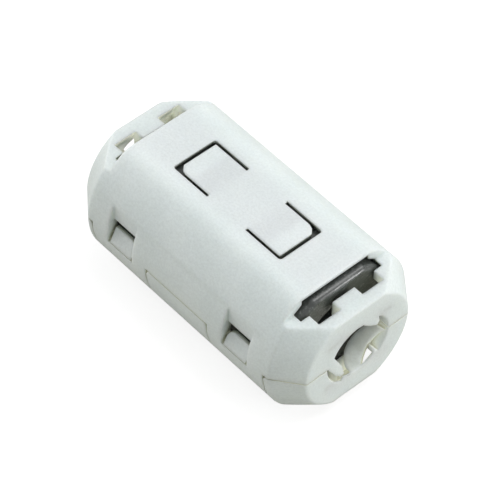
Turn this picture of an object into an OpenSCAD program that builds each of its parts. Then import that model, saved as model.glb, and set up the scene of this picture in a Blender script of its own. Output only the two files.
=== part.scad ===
// Clip on ferrite bead for a round cable, in millimetres.
// X runs along the cable. Y points away from the latches, to the hinge. Z is up, and z = 0 is the
// flat underside. Two ferrite half cores sit in two white moulded shells, which a pair of thin
// straps joins along the back and two snap latches hold shut along the front.

/* [Shells] */
// overall length along the cable
clip_l = 35; // [32:0.25:38]
// outside diameter of the round body
body_d = 19.5; // [18:0.1:21]
// height over the top and bottom flats
body_h = 16.7; // [16.2:0.1:17.2]
// length of the round body between the tapered ends
body_l = 28.5; // [27:0.25:30]
// radius that blends a flat into the round side
flat_blend = 3; // [1:0.25:4]
// wall of the round body
wall_t = 1.4; // [1.2:0.05:1.6]
// wall of the top and bottom flats
flat_t = 0.5; // [0.4:0.05:0.65]
// gap between the two shells along the parting plane
part_gap = 0.12; // [0.08:0.01:0.2]

/* [Tapered ends] */
// distance from the middle to the step down from each flat to its end shelf
step_x = 13.5; // [13.2:0.05:13.8]
// radius of the tapered end at its end face
nose_r = 7.2; // [6.8:0.1:7.8]
// height of the end shelf above and below the cable's axis
shelf_h = 6.45; // [6.2:0.05:6.8]
// thickness of the shelf plate
shelf_t = 1.3; // [1.1:0.05:1.5]
// thickness of the end wall beside the hole
end_t = 1.5; // [1.3:0.05:1.7]
// thickness of the end wall above and below the hole
lip_t = 0.2; // [0.15:0.05:0.5]
// height above the axis where the end wall thins
lip_z = 2.9; // [2.7:0.05:3.1]
// radius of the chamber between the core and the end wall
chamber_r = 7; // [6.6:0.05:7.1]
// how far the core pocket runs past the round body
pocket_run = 0.25; // [0.15:0.05:0.4]
// radius on the rim of the end face
nose_round = 0.35; // [0.2:0.05:0.5]

/* [End slots] */
// half width of the slot across the end shelf
slot_y = 5.65; // [5.5:0.05:5.8]
// half width of the slot's mouth under the flat
mouth_y = 4.62; // [4.4:0.02:4.8]
// height above the axis where the mouth starts to widen towards the shelf
mouth_z = 7.25; // [7.1:0.05:7.4]
// how far the mouth is recessed behind the step
mouth_l = 0.6; // [0.4:0.05:0.9]
// half width over the two pockets beside the stop finger
pocket_y = 4.5; // [4.2:0.05:4.7]
// distance from the end face in to the outer end of the pockets
pocket_in = 1.55; // [1.4:0.05:1.8]
// width of the stop finger that holds the core lengthways
finger_w = 3.1; // [2.8:0.1:3.6]
// depth of the stop finger
finger_t = 2.15; // [1.9:0.05:2.4]
// distance from the end face in to the back of the stop finger
finger_in = 1.14; // [1:0.02:1.3]
// gap between the core and the stop finger
finger_gap = 0.39; // [0.2:0.01:0.5]

/* [Leaf springs] */
// distance from the middle to the root of a leaf
leaf_x = 2.97; // [2.6:0.01:3.4]
// length of the slits beside a leaf
slit_l = 5.39; // [5.1:0.01:5.7]
// width over the two slits
slit_w = 5.94; // [5.6:0.02:6.2]
// slit beside a leaf
slit_gap = 0.36; // [0.25:0.01:0.45]
// thickness of a leaf between its root and its pad
leaf_t = 0.32; // [0.25:0.01:0.4]
// slit round the free end of a leaf
tip_gap = 0.51; // [0.4:0.01:0.6]
// radius on the free corners of the slit
slit_round = 0.4; // [0.2:0.05:0.6]
// length of the pad at a leaf's free end
pad_l = 2.15; // [1.8:0.05:2.5]
// thickness of the pad
pad_t = 0.7; // [0.55:0.01:0.85]
// length of the ridge under the pad that bears on the core
ridge_l = 0.8; // [0.5:0.05:1.1]
// width of that ridge
ridge_w = 3.8; // [3.4:0.1:4.2]
// chamfer on one free corner of a leaf
leaf_chamfer = 0.55; // [0.3:0.05:0.7]
// how much narrower a leaf is beside that corner
leaf_taper = 0.18; // [0.1:0.02:0.3]

/* [Ferrite cores] */
// clearance between a core and the round wall
core_clear = 0.15; // [0.1:0.01:0.25]
// clearance between a core's flat and the flat wall
core_flat_clear = 0.4; // [0.3:0.01:0.5]
// clearance at each end of a core
core_end_clear = 0.15; // [0.1:0.01:0.25]
// diameter of the hole for the cable
bore_d = 9; // [8:0.1:9.6]
// air gap between the two mating faces
core_gap = 0.06; // [0.02:0.01:0.12]
// radius on the outer edges of a core
core_round = 0.55; // [0.3:0.05:0.8]
// chamfer on the rims of the hole for the cable
bore_chamfer = 0.4; // [0.2:0.05:0.6]

/* [Cable grips] */
// radius of the hole in the end wall under the two rims
grip_r = 3.6; // [3.4:0.05:3.8]
// radius of the hole where it is cut back beside the grips
relief_r = 4.28; // [4.1:0.02:4.4]
// distance from the axis to the face of the short grip
nub_r = 3; // [2.8:0.05:3.2]
// direction of the short grip
nub_angle = 50; // [46:1:54]
// width of the short grip
nub_w = 1.65; // [1.4:0.05:1.9]
// distance from the axis to the inner face of the long grip
claw_r = 2.4; // [2.3:0.05:2.6]
// drop of the long grip's tip below the axis
claw_drop = 2.75; // [2.5:0.05:2.9]
// clearance between a grip and the cut-back rim of the lower hole
relief_clear = 0.1; // [0.06:0.01:0.15]

/* [Grip arm of the lower shell] */
// direction of the middle of the arm, seen along the cable
arm_angle = -57; // [-60:1:-54]
// direction where the arm springs from the lip
arm_from = -100; // [-104:1:-96]
// direction where the arm's free end stops
arm_to = -2; // [-10:1:-2]
// distance from the end face in to the back of the arm
arm_in = 3.15; // [3:0.01:3.4]
// width of the arm in its middle
arm_w = 1.95; // [1.7:0.05:2.2]
// radius of the arm's back edge
arm_back_r = 2.9; // [2.6:0.05:3.1]
// shift of the back edge's deepest point to the hinge side
arm_back_s = 0.35; // [0.2:0.05:0.5]
// radius of the arm's front edge
arm_front_r = 3; // [2.6:0.1:3.4]
// shift of the front edge's deepest point to the hinge side
arm_front_s = 1; // [0.8:0.05:1.2]
// reach of the room in front of the arm towards the hinge side
room_reach = 0.62; // [0.5:0.02:0.8]
// length of that side of the room before it slopes back
room_run = 0.55; // [0.4:0.05:0.7]
// distance from the axis to the outer end of the room
room_r = 5.4; // [5:0.1:5.6]

/* [Latches] */
// distance from the middle to the centre of a latch
latch_x = 9.1; // [8.9:0.05:9.3]
// width of a latch window
window_w = 4; // [3.8:0.05:4.2]
// depth of the window's back face below the widest point of the body
window_depth = 0.97; // [0.8:0.01:1.1]
// height of the open part of the window above the axis
window_open = 2; // [1.7:0.05:2.2]
// width of a snap tongue
tongue_w = 3.4; // [3.2:0.05:3.5]
// thickness of the tongue's stem
tongue_t = 0.6; // [0.5:0.01:0.65]
// height of the tongue's tip above the axis
tongue_top = 0.95; // [0.7:0.05:1.05]
// depth of the tongue's ledge below the axis
ledge_z = 0.95; // [0.8:0.05:1.1]
// step from the body's side in to the tongue's ledge
ledge_in = 0.05; // [0.02:0.01:0.1]
// radius on the tongue's front corner
tongue_round = 0.9; // [0.5:0.05:1.1]
// clearance round a latch
latch_clear = 0.1; // [0.06:0.01:0.15]
// lead-in on the catch bar's lower inner edge
lead_in = 0.45; // [0.35:0.05:0.6]

/* [Latch skirts] */
// distance from the middle to the near end of a skirt
skirt_x = 4.9; // [4.6:0.05:5.2]
// length of a skirt
skirt_l = 8.6; // [8.2:0.05:8.8]
// depth of a skirt below the axis
skirt_drop = 4; // [3.7:0.05:4.1]
// gap round a skirt
skirt_gap = 0.14; // [0.1:0.01:0.2]
// radius on the corners of the lower shell beside a skirt
lobe_round = 0.6; // [0.4:0.05:0.8]

/* [Hinge] */
// distance from the body's side out to the hinge axis
hinge_out = 0.35; // [0.3:0.01:0.5]
// distance from the middle to the centre of a hinge strap
strap_x = 8.2; // [7:0.1:9]
// width of a hinge strap
strap_w = 5; // [4:0.1:6]
// thickness of the hinge film
film_t = 0.35; // [0.25:0.01:0.4]
// outer radius of the film round the hinge axis
film_r = 0.8; // [0.7:0.01:0.9]
// gap from the hinge axis back to each hinge lug
lug_back = 0.06; // [0.04:0.01:0.1]

/* [Hidden] */
$fn = 96;

// overlap used where one shape is cut from or joined to another
eps = 0.05;
// size of a cutting block that is larger than the part
big = 60;

body_r = body_d / 2;
half_h = body_h / 2;
half_l = clip_l / 2;
round_x = body_l / 2;
nose_l = half_l - round_x;
end_x = half_l - end_t;
pocket_x = half_l - pocket_in;
cavity_r = body_r - wall_t;
cavity_h = half_h - flat_t;
cavity_x = round_x + pocket_run;
core_r = cavity_r - core_clear;
core_h = cavity_h - core_flat_clear;
core_x = cavity_x - core_end_clear;
bore_r = bore_d / 2;
finger_x = core_x + finger_gap;
hinge_y = body_r + hinge_out;

blend_y = sqrt(pow(body_r - flat_blend, 2) - pow(half_h - flat_blend, 2));
blend_z = half_h - flat_blend;
round_z = blend_z * body_r / (body_r - flat_blend);

tip_x = leaf_x + slit_l - tip_gap;
leaf_y = slit_w / 2 - slit_gap;
tip_y = leaf_y - leaf_taper;

window_y = body_r - window_depth;
tongue_y = body_r - wall_t + tongue_t;
bar_y = tongue_y + latch_clear;
bar_foot_y = sqrt(pow(bar_y, 2) - pow(skirt_drop, 2));
skirt_sweep = hinge_y + core_r + core_clear;
skirt_end = skirt_x + skirt_l;

// Draws its children along X from a to b; the children's x and y become Y and Z.
module along_x(a, b) {
  translate([a, 0, 0])
    rotate([90, 0, 90])
      linear_extrude(b - a)
        children();
}

// The same solid at both ends of the part.
module both_ends() {
  children();
  mirror([1, 0, 0])
    children();
}

// Outline of the round body: a circle with a flat above and below, blended by arcs.
module body_outline() {
  intersection() {
    circle(r = body_r);
    square([body_d, 2 * round_z], center = true);
  }
  for (sy = [-1, 1], sz = [-1, 1])
    translate([sy * blend_y, sz * blend_z])
      circle(r = flat_blend);
  square([2 * blend_y, body_h], center = true);
}

// Tapered end with its rim rounded, before the shelves are cut.
module nose() {
  slope = atan((body_r - nose_r) / nose_l);
  round_back = nose_round * tan(45 - slope / 2);
  rotate([0, 90, 0])
    rotate_extrude() {
      polygon([
        [0, round_x - eps],
        [body_r, round_x - eps],
        [body_r, round_x],
        [nose_r + round_back * sin(slope), half_l - round_back * cos(slope)],
        [nose_r - round_back, half_l],
        [0, half_l]
      ]);
      translate([nose_r - round_back, half_l - nose_round])
        circle(r = nose_round);
    }
}

// Outside of the closed clip.
module shell_outside() {
  difference() {
    along_x(-round_x, round_x)
      body_outline();
    both_ends()
      for (side = [0, 1])
        mirror([0, 0, side])
          translate([step_x, -big / 2, shelf_h])
            cube(big);
  }
  both_ends()
    intersection() {
      nose();
      cube([2 * half_l, big, 2 * shelf_h], center = true);
    }
}

// Room inside both shells for the cores and the two end chambers.
module shell_inside() {
  along_x(-cavity_x, cavity_x)
    intersection() {
      circle(r = cavity_r);
      square([body_d, 2 * cavity_h], center = true);
    }
  along_x(-end_x, end_x)
    intersection() {
      circle(r = chamber_r);
      square([body_d, 2 * (shelf_h - shelf_t)], center = true);
    }
}

// Slot across the step between flat and shelf, with the two pockets behind it. Inside the pockets
// the end wall slopes out towards the hole, where only a thin lip is left.
module end_slot() {
  along_x(step_x - mouth_l, step_x + eps)
    polygon([
      [-slot_y, shelf_h - shelf_t],
      [-slot_y, shelf_h],
      [-mouth_y, mouth_z],
      [-mouth_y, cavity_h],
      [mouth_y, cavity_h],
      [mouth_y, mouth_z],
      [slot_y, shelf_h],
      [slot_y, shelf_h - shelf_t]
    ]);
  translate([step_x, -slot_y, shelf_h - shelf_t - eps])
    cube([cavity_x - step_x, 2 * slot_y, shelf_t + 2 * eps]);
  rotate([90, 0, 0])
    linear_extrude(2 * pocket_y, center = true)
      polygon([
        [cavity_x - eps, lip_z],
        [half_l - lip_t, lip_z],
        [half_l - lip_t, grip_r],
        [pocket_x, shelf_h],
        [pocket_x, shelf_h + eps],
        [cavity_x - eps, shelf_h + eps]
      ]);
}

// Stop finger between the two pockets: a tab that hangs from the shelf in front of the core.
module stop_finger() {
  translate([finger_x, -finger_w / 2, shelf_h - finger_t])
    cube([half_l - finger_in - finger_x, finger_w, finger_t]);
  translate([finger_x, -finger_w / 2, shelf_h - shelf_t])
    cube([half_l - end_t / 2 - finger_x, finger_w, shelf_t]);
}

// Opening in the flat wall that frees a leaf spring, with its free corners rounded.
module leaf_slit() {
  translate([leaf_x, 0, core_h - eps])
    linear_extrude(half_h) {
      translate([0, -slit_w / 2])
        square([slit_l - slit_round, slit_w]);
      translate([0, slit_round - slit_w / 2])
        square([slit_l, slit_w - 2 * slit_round]);
      for (sy = [-1, 1])
        translate([slit_l - slit_round, sy * (slit_w / 2 - slit_round)])
          circle(r = slit_round);
    }
}

// Leaf spring with a thicker pad at its tip, one corner cut off, and a ridge that bears on the core.
module leaf() {
  intersection() {
    linear_extrude(half_h)
      polygon([
        [leaf_x - eps, -leaf_y],
        [tip_x, -leaf_y],
        [tip_x, tip_y - leaf_chamfer],
        [tip_x - leaf_chamfer, tip_y],
        [tip_x - pad_l / 2, leaf_y],
        [leaf_x - eps, leaf_y]
      ]);
    union() {
      translate([0, -slit_w / 2, half_h - leaf_t])
        cube([tip_x, slit_w, leaf_t]);
      translate([tip_x - pad_l, -slit_w / 2, half_h - pad_t])
        cube([pad_l, slit_w, pad_t]);
      translate([tip_x - (pad_l + ridge_l) / 2, -ridge_w / 2, core_h])
        cube([ridge_l, ridge_w, half_h - core_h]);
    }
  }
}

// Half shell above the axis, without its latch, hinge or cable grips.
module half_shell() {
  difference() {
    intersection() {
      shell_outside();
      translate([-big / 2, -big / 2, part_gap / 2])
        cube([big, big, big]);
    }
    shell_inside();
    both_ends()
      end_slot();
    both_ends()
      leaf_slit();
  }
  both_ends()
    stop_finger();
  for (turn = [0, 180])
    rotate([0, 0, turn])
      leaf();
}

// Hole in the upper end wall: a rim at the top, cut back towards the hinge.
module upper_hole() {
  circle(r = grip_r);
  intersection() {
    circle(r = relief_r);
    polygon([
      [0, 0],
      [big * cos(nub_angle), big * sin(nub_angle)],
      [big, 0],
      [big, -big],
      [0, -big]
    ]);
  }
}

// Short grip that points at the axis from the upper rim.
module nub() {
  depth = grip_r - nub_r;
  rotate(nub_angle)
    translate([nub_r, 0])
      polygon([
        [depth * 0.1, -nub_w * 0.47],
        [depth, -nub_w * 0.42],
        [relief_r - nub_r + eps, 0.1],
        [relief_r - nub_r + eps, nub_w * 1.15],
        [depth * 0.08, nub_w * 1.13],
        [depth * -0.05, nub_w * 0.96],
        [depth * -0.15, nub_w * 0.47]
      ]);
}

// Long grip that hooks down past the axis on the latch side.
module claw() {
  tip_r = 0.32;
  polygon([
    [-relief_r - 0.4, 1.25],
    [-relief_r - 0.4, part_gap / 2],
    [relief_clear - relief_r, part_gap / 2],
    [relief_clear - relief_r, -0.1],
    [-grip_r + 0.6, -claw_drop + 0.7],
    [-claw_r + 0.18, -claw_drop + 0.06],
    [-claw_r + 0.52, -claw_drop + 0.42],
    [-claw_r + 0.25, -claw_drop * 0.4],
    [-grip_r + 0.2, 1.25]
  ]);
  translate([-claw_r + 0.24, -claw_drop + tip_r])
    circle(r = tip_r);
}

// Hole in the lower end wall: a rim at the bottom, cut back under the long grip.
module lower_hole() {
  circle(r = grip_r);
  for (side = [[176, 240], [318, 364]])
    intersection() {
      circle(r = relief_r);
      polygon([
        [0, 0],
        [big * cos(side[0]), big * sin(side[0])],
        [big * cos(side[1]), big * sin(side[1])]
      ]);
    }
  translate([-relief_r, -eps])
    square([2 * relief_r, 2 * eps]);
}

// Curved grip arm: a leaf that springs from the lip of the lower hole and holds the cable's side.
module grip_arm() {
  arm_x = half_l - arm_in;
  intersection() {
    along_x(arm_x - eps, half_l - lip_t / 2)
      intersection() {
        difference() {
          circle(r = relief_r - relief_clear);
          circle(r = grip_r);
        }
        polygon([
          [0, 0],
          [big * cos(arm_from), big * sin(arm_from)],
          [big * cos(arm_to), big * sin(arm_to)]
        ]);
      }
    rotate([90 + arm_angle, 0, 0])
      translate([0, 0, -body_d])
        linear_extrude(body_d)
          difference() {
            translate([arm_x + arm_back_r, arm_back_s])
              circle(r = arm_back_r);
            translate([arm_x + arm_w + arm_front_r, arm_front_s])
              circle(r = arm_front_r);
          }
  }
}

// Room in the end wall in front of the grip arm: the wall slopes out to a thin lip there.
module arm_room() {
  lip_x = half_l - lip_t;
  room_x = lip_x - room_run;
  rotate([90 + arm_angle, 0, 0])
    intersection() {
      translate([0, 0, -body_d])
        linear_extrude(body_d)
          polygon([
            [end_x - eps, -room_reach],
            [lip_x, -room_reach],
            [lip_x, room_reach],
            [room_x, room_reach],
            [end_x - eps, room_reach + room_x - end_x + eps]
          ]);
      rotate([90, 0, 0])
        linear_extrude(body_d, center = true)
          polygon([
            [end_x - eps, 0],
            [lip_x, 0],
            [lip_x, -grip_r],
            [end_x, -room_r],
            [end_x - eps, -room_r]
          ]);
    }
}

// Skirts of the upper shell that hang in front of the cores and carry the latch windows.
module skirts() {
  intersection() {
    along_x(-skirt_end, skirt_end)
      difference() {
        intersection() {
          body_outline();
          translate([-body_d, -skirt_drop])
            square([body_d, skirt_drop + part_gap]);
        }
        translate([hinge_y, 0])
          circle(r = skirt_sweep);
      }
    both_ends()
      translate([skirt_x, -big / 2, -big / 2])
        cube([skirt_l, big, big]);
  }
}

// Window, tongue passage and lead-in of one latch, cut from the upper shell.
module latch_window() {
  translate([latch_x - window_w / 2, -body_d, -ledge_z - latch_clear])
    cube([window_w, body_d - window_y, body_r]);
  translate([latch_x - window_w / 2, -body_d, -ledge_z - latch_clear])
    cube([window_w, body_d - cavity_r / 2, ledge_z + latch_clear + window_open]);
  along_x(latch_x - window_w / 2, latch_x + window_w / 2)
    intersection() {
      union() {
        circle(r = bar_y);
        polygon([
          [-bar_foot_y - lead_in, -skirt_drop - eps],
          [-bar_foot_y - lead_in, -skirt_drop],
          [-bar_foot_y, -skirt_drop + lead_in],
          [-bar_foot_y + lead_in, -skirt_drop + lead_in],
          [-bar_foot_y + lead_in, -skirt_drop - eps]
        ]);
      }
      translate([-body_d, -skirt_drop - eps])
        square([body_d, skirt_drop]);
    }
}

// Snap tongue of the lower shell, with a sloping head and a ledge that holds the catch bar.
module tongue() {
  along_x(latch_x - tongue_w / 2, latch_x + tongue_w / 2)
    intersection() {
      difference() {
        circle(r = tongue_y);
        circle(r = cavity_r);
      }
      translate([-body_d, -skirt_drop - 2 * tongue_t])
        square([body_d, skirt_drop + 2 * tongue_t - ledge_z + eps]);
    }
  difference() {
    along_x(latch_x - tongue_w / 2, latch_x + tongue_w / 2)
      polygon([
        [-cavity_r, -ledge_z],
        [ledge_in - body_r, -ledge_z],
        [-window_y, tongue_top],
        [-cavity_r, tongue_top]
      ]);
    translate([latch_x - tongue_w / 2, 0, tongue_top])
      rotate([90, 0, 0])
        linear_extrude(body_d)
          difference() {
            translate([-eps, -tongue_round])
              square([tongue_round + eps, tongue_round + eps]);
            translate([tongue_round, -tongue_round])
              circle(r = tongue_round);
          }
  }
}

// Room in the lower shell for one skirt, with the corners beside it rounded.
module skirt_room() {
  a = skirt_x - skirt_gap;
  b = skirt_end + skirt_gap;
  rotate([90, 0, 0])
    linear_extrude(body_d) {
      translate([a, -skirt_drop - skirt_gap])
        square([b - a, body_r]);
      difference() {
        translate([a - lobe_round, -lobe_round])
          square([b - a + 2 * lobe_round, body_r]);
        translate([a - lobe_round, -lobe_round - part_gap / 2])
          circle(r = lobe_round);
        translate([b + lobe_round, -lobe_round - part_gap / 2])
          circle(r = lobe_round);
      }
    }
}

// Lug that carries one hinge strap, above the axis.
module hinge_lug() {
  translate([strap_x - strap_w / 2, cavity_r + eps, film_r - film_t])
    cube([strap_w, hinge_y - lug_back - cavity_r - eps, film_t]);
}

module lower_shell() {
  color([0.93, 0.93, 0.91])
    translate([0, 0, half_h]) {
      difference() {
        mirror([0, 0, 1])
          half_shell();
        both_ends()
          skirt_room();
        along_x(-half_l - eps, -cavity_x)
          lower_hole();
        along_x(cavity_x, half_l + eps)
          lower_hole();
        both_ends()
          arm_room();
      }
      both_ends()
        tongue();
      both_ends()
        grip_arm();
      mirror([0, 0, 1])
        both_ends()
          hinge_lug();
    }
}

module upper_shell() {
  color([0.95, 0.95, 0.93])
    translate([0, 0, half_h]) {
      difference() {
        union() {
          difference() {
            half_shell();
            along_x(-half_l - eps, half_l + eps)
              upper_hole();
          }
          skirts();
        }
        both_ends()
          latch_window();
      }
      both_ends()
        along_x(end_x, half_l)
          intersection() {
            union() {
              nub();
              claw();
            }
            circle(r = relief_r + eps);
          }
      both_ends()
        hinge_lug();
    }
}

// Lengthwise section of a core on one side of the axis, with its corners rounded.
module core_section() {
  side_x = core_x - core_round;
  polygon([
    [bore_r, bore_chamfer - core_x],
    [bore_r + bore_chamfer, -core_x],
    [core_r - core_round, -core_x],
    [core_r - core_round, -side_x],
    [core_r, -side_x],
    [core_r, side_x],
    [core_r - core_round, side_x],
    [core_r - core_round, core_x],
    [bore_r + bore_chamfer, core_x],
    [bore_r, core_x - bore_chamfer]
  ]);
  for (s = [-1, 1])
    translate([core_r - core_round, s * side_x])
      circle(r = core_round);
}

// Half core above the axis: a half round block with a flat, rounded ends and the cable groove.
module half_core() {
  intersection() {
    rotate([0, 90, 0])
      rotate_extrude()
        core_section();
    rotate([90, 0, 0])
      linear_extrude(body_d, center = true) {
        square([2 * core_x, 2 * (core_h - core_round)], center = true);
        square([2 * (core_x - core_round), 2 * core_h], center = true);
        for (sx = [-1, 1], sz = [-1, 1])
          translate([sx * (core_x - core_round), sz * (core_h - core_round)])
            circle(r = core_round);
      }
    translate([-big / 2, -big / 2, core_gap / 2])
      cube([big, big, big]);
  }
}

module lower_core() {
  color([0.28, 0.28, 0.29])
    translate([0, 0, half_h])
      mirror([0, 0, 1])
        half_core();
}

module upper_core() {
  color([0.3, 0.3, 0.31])
    translate([0, 0, half_h])
      half_core();
}

// Thin straps that join the shells and bend when the clip opens.
module hinge_film() {
  color([0.92, 0.92, 0.9])
    translate([0, 0, half_h])
      both_ends()
        along_x(strap_x - strap_w / 2, strap_x + strap_w / 2)
          translate([hinge_y, 0])
            intersection() {
              difference() {
                union() {
                  circle(r = film_r);
                  translate([-lug_back, -film_r])
                    square([lug_back, 2 * film_r]);
                }
                circle(r = film_r - film_t);
                translate([-lug_back, film_t - film_r])
                  square([lug_back, 2 * (film_r - film_t)]);
              }
              translate([-lug_back, -film_r])
                square([film_r + lug_back, 2 * film_r]);
            }
}

lower_shell();
upper_shell();
lower_core();
upper_core();
hinge_film();
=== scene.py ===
import math

import bmesh
import bpy
from mathutils import Matrix, Vector
from mathutils.bvhtree import BVHTree
from mathutils.kdtree import KDTree


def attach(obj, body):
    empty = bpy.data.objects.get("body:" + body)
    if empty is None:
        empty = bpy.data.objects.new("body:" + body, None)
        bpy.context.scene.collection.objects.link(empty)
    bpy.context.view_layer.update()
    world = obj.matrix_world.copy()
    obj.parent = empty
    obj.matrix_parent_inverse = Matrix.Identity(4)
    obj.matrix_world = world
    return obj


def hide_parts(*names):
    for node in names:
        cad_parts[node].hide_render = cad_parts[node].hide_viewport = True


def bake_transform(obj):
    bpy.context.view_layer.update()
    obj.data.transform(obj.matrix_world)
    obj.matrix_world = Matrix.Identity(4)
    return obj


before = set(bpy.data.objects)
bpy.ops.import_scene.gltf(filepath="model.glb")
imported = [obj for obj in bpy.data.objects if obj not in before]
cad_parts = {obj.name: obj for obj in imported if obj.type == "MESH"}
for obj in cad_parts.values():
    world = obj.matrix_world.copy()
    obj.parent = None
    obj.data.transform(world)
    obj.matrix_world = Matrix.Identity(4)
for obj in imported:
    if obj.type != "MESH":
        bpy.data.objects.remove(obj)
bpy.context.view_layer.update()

MM = 0.001
AXIS_Z = 8.35 * MM
WHITE = (1, 1, 1, 1)


# ---------------------------------------------------------------- helpers

def hex_colour(code):
    """sRGB hex to the linear colour that a socket takes."""
    parts = [int(code[i:i + 2], 16) / 255 for i in (1, 3, 5)]
    return [c / 12.92 if c <= 0.04045 else ((c + 0.055) / 1.055) ** 2.4 for c in parts] + [1.0]


def add_node(tree, kind, settings=None, inputs=None, **links):
    """One node with its settings, its plain input values and the sockets that feed it."""
    made = tree.nodes.new(kind)
    for name, value in (settings or {}).items():
        setattr(made, name, value)
    for name, value in (inputs or {}).items():
        made.inputs[name].default_value = value
    for name, source in links.items():
        key = int(name[1:]) if name[0] == "i" and name[1:].isdigit() else name
        tree.links.new(source, made.inputs[key])
    return made


def new_material(name):
    made = bpy.data.materials.new(name)
    made.use_nodes = True
    made.node_tree.nodes.clear()
    return made, made.node_tree


def deselect_all():
    if bpy.context.object and bpy.context.object.mode != "OBJECT":
        bpy.ops.object.mode_set(mode="OBJECT")
    bpy.ops.object.select_all(action="DESELECT")


def make_active(obj):
    deselect_all()
    obj.select_set(True)
    bpy.context.view_layer.objects.active = obj


# ---------------------------------------------------------------- materials

def ramp_of(tree, factor, stops):
    """Colour ramp through (place, hex) stops."""
    made = add_node(tree, "ShaderNodeValToRGB")
    tree.links.new(factor, made.inputs["Fac"])
    points = made.color_ramp.elements
    while len(points) < len(stops):
        points.new(0.5)
    for point, (place, code) in zip(points, stops):
        point.position = place
        point.color = hex_colour(code)
    return made.outputs["Color"]


def mapped(tree, value, low, high, to_low=0.0, to_high=1.0):
    """A value between low and high carried over to to_low and to_high, and held past both ends."""
    span = {"From Min": low, "From Max": high, "To Min": to_low, "To Max": to_high}
    return add_node(tree, "ShaderNodeMapRange", {}, span, Value=value).outputs["Result"]


def worked_out(tree, operation, *values):
    """Math node on sockets and plain numbers."""
    plain = {i: v for i, v in enumerate(values) if isinstance(v, float)}
    linked = {f"i{i}": v for i, v in enumerate(values) if i not in plain}
    return add_node(tree, "ShaderNodeMath", {"operation": operation}, plain, **linked).outputs[0]


def noise_of(tree, place, scale, detail, roughness):
    settings = {"Scale": scale, "Detail": detail, "Roughness": roughness}
    return add_node(tree, "ShaderNodeTexNoise", {}, settings, Vector=place).outputs["Fac"]


def multiplied(tree, one, other):
    """Two colours multiplied."""
    return add_node(tree, "ShaderNodeMix", {"data_type": "RGBA", "blend_type": "MULTIPLY"},
                    {"Factor": 1.0}, i6=one, i7=other).outputs[2]


def towards(tree, factor, one, code):
    """A colour mixed towards a fixed one."""
    return add_node(tree, "ShaderNodeMix", {"data_type": "RGBA"}, {7: hex_colour(code)},
                    Factor=factor, i6=one).outputs[2]


def finished(mat, tree, shader):
    out = add_node(tree, "ShaderNodeOutputMaterial")
    tree.links.new(shader.outputs["BSDF"], out.inputs["Surface"])
    return mat


# Noise scales are cycles per metre.
FLOW_SCALE = 160
GRAIN_SCALE = 3600
GRAIN_DEPTH = 0.03 * MM
COVER_REACH = 2.2 * MM
NYLON_EDGE = 0.45 * MM
NYLON_SCATTER = 1.2 * MM

# Zones of the shells, each from where it starts to where it is full. "along" is the distance from
# the middle of the cable passage lengthways, "rise" the distance from the parting plane.
END_WALL_ALONG = (14.7 * MM, 15.6 * MM)
BELOW_END_FACE_ALONG = (17.45 * MM, 17.2 * MM)
SKIRT_GAP_ALONG = (6.9 * MM, 6.6 * MM)
ABOVE_GRIPS_RISE = (3.6 * MM, 4.6 * MM)
FLAT_WALL_RISE = (6.9 * MM, 7.2 * MM)
PARTING_RISE = (0.16 * MM, 0.1 * MM)
HOLE_RADIUS = (4.6 * MM, 4.3 * MM)
LATCH_SIDE_Y = (-8.0 * MM, -8.3 * MM)
UNDER_TONGUE_Z = (AXIS_Z - 0.4 * MM, AXIS_Z - 1.0 * MM)

# Strength of the light that comes through the walls, in each place.
THROUGH_GRIPS = 0.22
THROUGH_END_WALL = 0.7
THROUGH_HOLE_RIM = 0.1
THROUGH_PARTING = 0.14
THROUGH_LATCH_GAPS = 0.16
KEPT_IN_GAPS = 0.4
# Strength of the painted shade that darkens the slits over the ferrite.
SLIT_PAINTED_SHADE = 0.85


def light_through(tree, cover, place):
    """Strength of the light that comes through the nylon at each spot, and the spot's rise."""
    apart = add_node(tree, "ShaderNodeSeparateXYZ", Vector=place).outputs
    along = worked_out(tree, "ABSOLUTE", apart["X"])
    rise = worked_out(tree, "SUBTRACT", apart["Z"], AXIS_Z)
    rise = worked_out(tree, "ABSOLUTE", rise)

    # end walls: only where covered, and less in the narrowest gaps
    inner = mapped(tree, cover, 0.85, 0.35)
    not_gap = mapped(tree, cover, 0.05, 0.35, KEPT_IN_GAPS)
    inner = worked_out(tree, "MULTIPLY", inner, not_gap)
    glow = mapped(tree, rise, *ABOVE_GRIPS_RISE, THROUGH_GRIPS, THROUGH_END_WALL)
    around = add_node(tree, "ShaderNodeCombineXYZ", Y=apart["Y"], Z=rise).outputs[0]
    around = add_node(tree, "ShaderNodeVectorMath", {"operation": "LENGTH"}, Vector=around)
    ring = mapped(tree, around.outputs["Value"], *HOLE_RADIUS, 0.0, THROUGH_HOLE_RIM)
    ring = worked_out(tree, "MULTIPLY", ring, mapped(tree, along, *BELOW_END_FACE_ALONG))
    glow = worked_out(tree, "MULTIPLY_ADD", inner, glow, ring)
    through = worked_out(tree, "MULTIPLY", mapped(tree, along, *END_WALL_ALONG), glow)

    # parting line
    seam = mapped(tree, rise, *PARTING_RISE)
    buried = mapped(tree, cover, 0.4, 0.2, 0.0, THROUGH_PARTING)
    through = worked_out(tree, "MULTIPLY_ADD", seam, buried, through)

    # gaps beside the skirts and under the tongues
    between = mapped(tree, along, *SKIRT_GAP_ALONG, 0.0, THROUGH_LATCH_GAPS)
    under_tongue = mapped(tree, apart["Z"], *UNDER_TONGUE_Z, 0.0, THROUGH_LATCH_GAPS)
    gaps = worked_out(tree, "MAXIMUM", between, under_tongue)
    gaps = worked_out(tree, "MULTIPLY", gaps, mapped(tree, apart["Y"], *LATCH_SIDE_Y))
    narrow = mapped(tree, cover, 0.35, 0.15)
    return worked_out(tree, "MULTIPLY_ADD", gaps, narrow, through), rise


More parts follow.
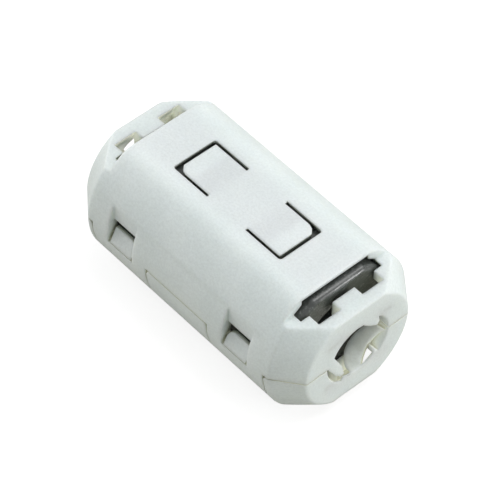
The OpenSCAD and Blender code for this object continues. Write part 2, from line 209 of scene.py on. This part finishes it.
def moulded_nylon():
    """White nylon 66, injection moulded in a spark-eroded tool: a satin, slightly translucent skin
    with a very fine grain. Painted shade turns it olive in hollows and near black in the slits,
    and a weak warm emission stands in for the light that comes through its thin walls."""
    mat, tree = new_material("nylon_66_white_moulded")
    place = add_node(tree, "ShaderNodeTexCoord").outputs["Object"]
    flow = noise_of(tree, place, FLOW_SCALE, 3, 0.5)
    grain = noise_of(tree, place, GRAIN_SCALE, 3, 0.65)
    cover = add_node(tree, "ShaderNodeAmbientOcclusion", {"samples": 8},
                     {"Distance": COVER_REACH}).outputs["AO"]
    through, rise = light_through(tree, cover, place)

    bare = ramp_of(tree, flow, [(0.3, "#E5EEED"), (0.7, "#ECF4F3")])
    bare = multiplied(tree, bare, ramp_of(tree, grain, [(0.3, "#F3F3F3"), (0.7, "#FFFFFF")]))
    # painted shade: the colour turns olive and darker where ambient occlusion finds little open
    # space, in hollows, pockets and gaps
    shade = ramp_of(tree, cover, [(0.02, "#D2D2C6"), (0.08, "#A8A894"), (0.22, "#ACAC98"),
                                  (0.4, "#E6E7DB"), (0.6, "#FFFFFF")])
    # painted shade: where ambient occlusion is deep on the flat top walls, the slits over the
    # ferrite are painted near black
    gap_shade_depth = mapped(tree, cover, 0.5, 0.25, 0.0, SLIT_PAINTED_SHADE)
    painted_slit_shade = worked_out(tree, "MULTIPLY", mapped(tree, rise, *FLAT_WALL_RISE), gap_shade_depth)
    shade = towards(tree, painted_slit_shade, shade, "#1E1E1A")

    round_edge = add_node(tree, "ShaderNodeBevel", {"samples": 6}, {"Radius": NYLON_EDGE})
    bump = add_node(tree, "ShaderNodeBump", {}, {"Strength": 0.6, "Distance": GRAIN_DEPTH},
                    Height=grain, Normal=round_edge.outputs["Normal"])
    skin = add_node(tree, "ShaderNodeBsdfPrincipled", {}, {
        "IOR": 1.53,
        "Subsurface Weight": 0.65,
        "Subsurface Radius": (1.0, 0.98, 0.9),
        "Subsurface Scale": NYLON_SCATTER,
        "Emission Color": hex_colour("#DBD9C4"),
    }, Normal=bump.outputs["Normal"])
    tree.links.new(through, skin.inputs["Emission Strength"])
    tree.links.new(multiplied(tree, bare, shade), skin.inputs["Base Color"])
    tree.links.new(mapped(tree, flow, 0.3, 0.7, 0.42, 0.5), skin.inputs["Roughness"])
    return finished(mat, tree, skin)


CLOUD_SCALE = 450
PORE_SCALE = 3200
PORE_DEPTH = 0.03 * MM
SCUFF_SCALE = 3000
SCUFF_TURN = (0.5, 0.4, 0.7)
SCUFF_STRETCH = (1.0, 0.45, 1.0)


def sintered_ferrite():
    """Nickel zinc ferrite, pressed, sintered and tumbled: dark grey ceramic with light specks, and
    fine pale scuffs where the cores rubbed together in the drum."""
    mat, tree = new_material("nizn_ferrite_sintered")
    place = add_node(tree, "ShaderNodeTexCoord").outputs["Object"]
    cloud = noise_of(tree, place, CLOUD_SCALE, 4, 0.6)
    pores = noise_of(tree, place, PORE_SCALE, 2, 0.7)
    tint = ramp_of(tree, cloud, [(0.3, "#363A38"), (0.7, "#474B49")])
    speck = ramp_of(tree, pores, [(0.35, "#303432"), (0.6, "#4A4E4B"), (0.75, "#868A87")])
    colour = add_node(tree, "ShaderNodeMix", {"data_type": "RGBA"}, {"Factor": 0.5},
                      i6=tint, i7=speck).outputs[2]
    drawn = add_node(tree, "ShaderNodeMapping", {},
                     {"Rotation": SCUFF_TURN, "Scale": SCUFF_STRETCH}, Vector=place)
    scuff = noise_of(tree, drawn.outputs["Vector"], SCUFF_SCALE, 3, 0.7)
    scuff = mapped(tree, scuff, 0.57, 0.7, 0.0, 0.5)
    bump = add_node(tree, "ShaderNodeBump", {}, {"Strength": 0.6, "Distance": PORE_DEPTH},
                    Height=pores)
    body = add_node(tree, "ShaderNodeBsdfPrincipled", {}, {"IOR": 1.8},
                    Normal=bump.outputs["Normal"])
    tree.links.new(mapped(tree, cloud, 0.35, 0.65, 0.26, 0.4), body.inputs["Roughness"])
    tree.links.new(towards(tree, scuff, colour, "#9A9D9B"), body.inputs["Base Color"])
    return finished(mat, tree, body)


NYLON = moulded_nylon()
FERRITE = sintered_ferrite()


# ---------------------------------------------------------------- the moulded shells

# Vertices this close are one, faces this level are one, and edges this blunt are shaded smooth.
SEAM_REACH = 0.002 * MM
FLAT_WITHIN = math.radians(0.6)
SMOOTH_UP_TO = math.radians(38)
# Edge radii, and the angle from which an edge gets one.
SHELL_EDGE = 0.11 * MM
CORE_EDGE = 0.08 * MM
SHARP_FROM = math.radians(28)
# A bevel takes at most this share of the shortest edge beside it. Under the least weight it is
# left out, and where faces fold it is halved, or left out once it is small.
ROOM_SHARE = 0.42
LEAST_WEIGHT = 0.25
LEAST_TO_HALVE = 0.4
BACK_OFF_ROUNDS = 8
# How far from a folded corner bevels back off, in edge radii.
BACK_OFF_REACH = 1.6
# A face over this area (square metres) folds if no surface within reach faces its way.
SMALLEST_FACE = 2e-11
NEAR_SKIN = 0.3 * MM
FACING = 0.3


def welded_copy(node, name):
    """Copy of a CAD node's mesh with its seams merged and its flat faces made whole."""
    piece = bpy.data.objects.new(name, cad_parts[node].data.copy())
    bpy.context.scene.collection.objects.link(piece)
    make_active(piece)
    bpy.ops.object.mode_set(mode="EDIT")
    bpy.ops.mesh.select_all(action="SELECT")
    bpy.ops.mesh.customdata_custom_splitnormals_clear()
    bpy.ops.mesh.remove_doubles(threshold=SEAM_REACH)
    bpy.ops.mesh.dissolve_limited(angle_limit=FLAT_WITHIN)
    bpy.ops.object.mode_set(mode="OBJECT")
    return piece


def first_weights(work, layer, width):
    """Full bevel weight on long sharp edges, less where an edge beside them is short."""
    room = {v: min(e.calc_length() for e in v.link_edges) for v in work.verts}
    for edge in work.edges:
        if len(edge.link_faces) == 2 and edge.calc_face_angle(0) > SHARP_FROM:
            near = min(room[v] for v in edge.verts)
            weight = min(1.0, ROOM_SHARE * near / width)
            edge[layer] = weight if weight > LEAST_WEIGHT else 0.0


def folded_corners(mesh, skin):
    """Corners of the faces that point against the surface that they were made from."""
    work = bmesh.new()
    work.from_mesh(mesh)
    bmesh.ops.triangulate(work, faces=work.faces[:])
    found = []
    for face in work.faces:
        if face.calc_area() > SMALLEST_FACE:
            near = skin.find_nearest_range(face.calc_center_median(), NEAR_SKIN)
            if not near or max(hit[1].dot(face.normal) for hit in near) < FACING:
                found += [v.co.copy() for v in face.verts]
    work.free()
    return found


def softened_copy(node, name, width, body, material):
    """Copy of a CAD node with its real edge radius, which backs off where the faces would fold."""
    piece = welded_copy(node, name)
    work = bmesh.new()
    work.from_mesh(piece.data)
    skin = BVHTree.FromBMesh(work)
    layer = work.edges.layers.float.new("bevel_weight_edge")
    first_weights(work, layer, width)
    for _ in range(BACK_OFF_ROUNDS):
        work.to_mesh(piece.data)
        bevel = piece.modifiers.new("edge_radius", "BEVEL")
        bevel.width = width
        bevel.segments = 2
        bevel.limit_method = "WEIGHT"
        bevel.use_clamp_overlap = False
        bevel.miter_outer = "MITER_SHARP"
        make_active(piece)
        bpy.ops.object.modifier_apply(modifier="edge_radius")
        corners = folded_corners(piece.data, skin)
        if not corners:
            break
        tree = KDTree(len(corners))
        for i, corner in enumerate(corners):
            tree.insert(corner, i)
        tree.balance()
        for edge in work.edges:
            if edge[layer] > 0:
                ends = [v.co for v in edge.verts]
                spots = ends + [(ends[0] + ends[1]) / 2]
                if min(tree.find(spot)[2] for spot in spots) < BACK_OFF_REACH * width:
                    edge[layer] = edge[layer] / 2 if edge[layer] > LEAST_TO_HALVE else 0.0
    work.free()
    piece.data.materials.clear()
    piece.data.materials.append(material)
    bpy.ops.object.shade_smooth_by_angle(angle=SMOOTH_UP_TO)
    even = piece.modifiers.new("even_shading", "WEIGHTED_NORMAL")
    even.keep_sharp = True
    even.weight = 100
    bpy.ops.object.modifier_apply(modifier="even_shading")
    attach(piece, body)
    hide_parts(node)


def hinge_straps():
    """The two living hinge straps as a welded copy of the CAD node, baked where they stand; the
    real straps bend round the hinge axis as the lid opens.
    """
    piece = welded_copy("hinge_film", "hinge_straps")
    piece.data.materials.clear()
    piece.data.materials.append(NYLON)
    bpy.ops.object.shade_smooth_by_angle(angle=SMOOTH_UP_TO)
    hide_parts("hinge_film")
    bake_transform(piece)


hinge_straps()
softened_copy("lower_shell", "lower_case", SHELL_EDGE, "base", NYLON)
softened_copy("upper_shell", "upper_case", SHELL_EDGE, "lid", NYLON)
softened_copy("lower_core", "lower_ferrite", CORE_EDGE, "base", FERRITE)
softened_copy("upper_core", "upper_ferrite", CORE_EDGE, "lid", FERRITE)


# ---------------------------------------------------------------- floor, light, camera

FLOOR_SIZE = 1.6
FLOOR_Z = -0.02 * MM
FLOOR_GLOW = 0.8
ROOM_LIGHT = 0.46
# name, place, size in metres, power in watts
LAMPS = [
    ("key_soft_box", (0.05, 0.2, 0.5), (0.45, 0.45), 1.52),
    ("end_fill", (0.62, 0.4, 0.2), (0.25, 0.25), 1.9),
    ("left_fill", (-0.72, -0.16, 0.2), (0.5, 0.4), 2.4),
]
# camera: turn, height and roll in degrees, distance and offsets in metres, lens in millimetres
CAMERA_TURN, CAMERA_HEIGHT, CAMERA_ROLL = 46.08, 50.20, 2.56
CAMERA_DISTANCE = 0.297
CAMERA_RIGHT, CAMERA_UP = 0.535 * MM, 0.023 * MM
LENS = 201.5
FILM_WIDTH = 36


def stage_floor():
    """Pale matt paper, laid flat. To the camera it is brighter than the light it throws back, so
    that it stays near white and still holds the shadow."""
    deselect_all()
    bpy.ops.mesh.primitive_plane_add(size=FLOOR_SIZE, location=(0, 0, FLOOR_Z))
    floor = bpy.context.object
    floor.name = "floor"
    mat, tree = new_material("paper_sweep_white")
    paper = add_node(tree, "ShaderNodeBsdfDiffuse", {}, {"Color": hex_colour("#C2C1B8")})
    bright = add_node(tree, "ShaderNodeBsdfDiffuse", {}, {"Color": hex_colour("#A0A0A0")})
    glow = add_node(tree, "ShaderNodeEmission", {}, {"Color": WHITE, "Strength": FLOOR_GLOW})
    seen = add_node(tree, "ShaderNodeAddShader")
    tree.links.new(bright.outputs[0], seen.inputs[0])
    tree.links.new(glow.outputs[0], seen.inputs[1])
    path = add_node(tree, "ShaderNodeLightPath")
    mixed = add_node(tree, "ShaderNodeMixShader")
    tree.links.new(path.outputs["Is Camera Ray"], mixed.inputs[0])
    tree.links.new(paper.outputs[0], mixed.inputs[1])
    tree.links.new(seen.outputs[0], mixed.inputs[2])
    out = add_node(tree, "ShaderNodeOutputMaterial")
    tree.links.new(mixed.outputs[0], out.inputs["Surface"])
    floor.data.materials.append(mat)


def soft_box(name, place, target, size, power):
    """Rectangular area lamp that faces the target."""
    data = bpy.data.lights.new(name, "AREA")
    data.shape = "RECTANGLE"
    data.size, data.size_y = size
    data.energy = power
    lamp = bpy.data.objects.new(name, data)
    bpy.context.scene.collection.objects.link(lamp)
    lamp.location = place
    lamp.rotation_mode = "QUATERNION"
    lamp.rotation_quaternion = (Vector(target) - Vector(place)).to_track_quat("-Z", "Y")


def studio():
    world = bpy.data.worlds.new("studio_air")
    bpy.context.scene.world = world
    world.use_nodes = True
    tree = world.node_tree
    tree.nodes.clear()
    room = add_node(tree, "ShaderNodeBackground", {}, {"Color": WHITE, "Strength": ROOM_LIGHT})
    out = add_node(tree, "ShaderNodeOutputWorld")
    tree.links.new(room.outputs[0], out.inputs["Surface"])
    middle = (0, 0, AXIS_Z)
    for name, place, size, power in LAMPS:
        soft_box(name, place, middle, size, power)


def camera():
    angles = (CAMERA_TURN, CAMERA_HEIGHT, CAMERA_ROLL)
    az, el, roll = (math.radians(angle) for angle in angles)
    back = Vector((math.sin(az) * math.cos(el), -math.cos(az) * math.cos(el), math.sin(el)))
    right = Vector((math.cos(az), math.sin(az), 0))
    up = back.cross(right)
    turned_right = right * math.cos(roll) + up * math.sin(roll)
    turned_up = up * math.cos(roll) - right * math.sin(roll)
    data = bpy.data.cameras.new("product_camera")
    data.sensor_width = FILM_WIDTH
    data.lens = LENS
    data.clip_start, data.clip_end = 0.01, 10
    cam = bpy.data.objects.new("product_camera", data)
    bpy.context.scene.collection.objects.link(cam)
    where = Vector((0, 0, AXIS_Z)) + back * CAMERA_DISTANCE
    where += turned_right * CAMERA_RIGHT + turned_up * CAMERA_UP
    cam.matrix_world = Matrix((
        (turned_right.x, turned_up.x, back.x, where.x),
        (turned_right.y, turned_up.y, back.y, where.y),
        (turned_right.z, turned_up.z, back.z, where.z),
        (0, 0, 0, 1),
    ))
    bpy.context.scene.camera = cam


stage_floor()
studio()
camera()
bpy.context.scene.view_settings.view_transform = "Standard"
